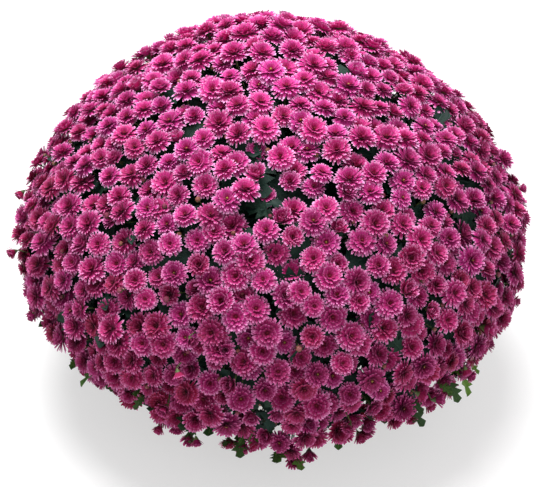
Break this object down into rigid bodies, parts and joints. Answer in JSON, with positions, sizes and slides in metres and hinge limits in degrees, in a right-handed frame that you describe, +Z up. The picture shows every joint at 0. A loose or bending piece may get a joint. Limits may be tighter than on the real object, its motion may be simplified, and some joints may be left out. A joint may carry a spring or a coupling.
{
  "type": "pot chrysanthemum",
  "caption": "Garden chrysanthemum in a plain round plastic pot: a dense dome of small double magenta-pink blooms with lobed leaves in the gaps.",
  "frame": {"origin": "centre of the flat base of the pot, on the surface that it stands on", "axes": "+Z up along the pot's axis; the view of the picture looks along +Y from above, with +X to its right"},
  "size_m": [0.604, 0.6032, 0.4572],
  "materials": {
    "petals": "matte",
    "leaves": "satin",
    "pot": "satin",
    "soil": "matte"
  },
  "bodies": {
    "root": {"leafy_stem_1": "leaves", "leafy_stem_2": "leaves", "leafy_stem_3": "leaves", "leafy_stem_4": "leaves", "leafy_stem_5": "leaves", "leafy_stem_6": "leaves", "leafy_stem_7": "leaves", "leafy_stem_8": "leaves", "pot": "pot", "soil": "soil", "spray_01": "petals", "spray_02": "petals", "spray_03": "petals", "spray_04": "petals", "spray_05": "petals", "spray_06": "petals", "spray_07": "petals", "spray_08": "petals", "spray_09": "petals", "spray_10": "petals", "spray_11": "petals", "spray_12": "petals", "spray_13": "petals", "spray_14": "petals", "spray_15": "petals", "spray_16": "petals", "spray_17": "petals", "spray_18": "petals", "spray_19": "petals", "spray_20": "petals", "spray_21": "petals", "spray_22": "petals", "spray_23": "petals", "spray_24": "petals", "spray_25": "petals", "spray_26": "petals", "spray_27": "petals", "spray_28": "petals"}
  },
  "joints": []
}
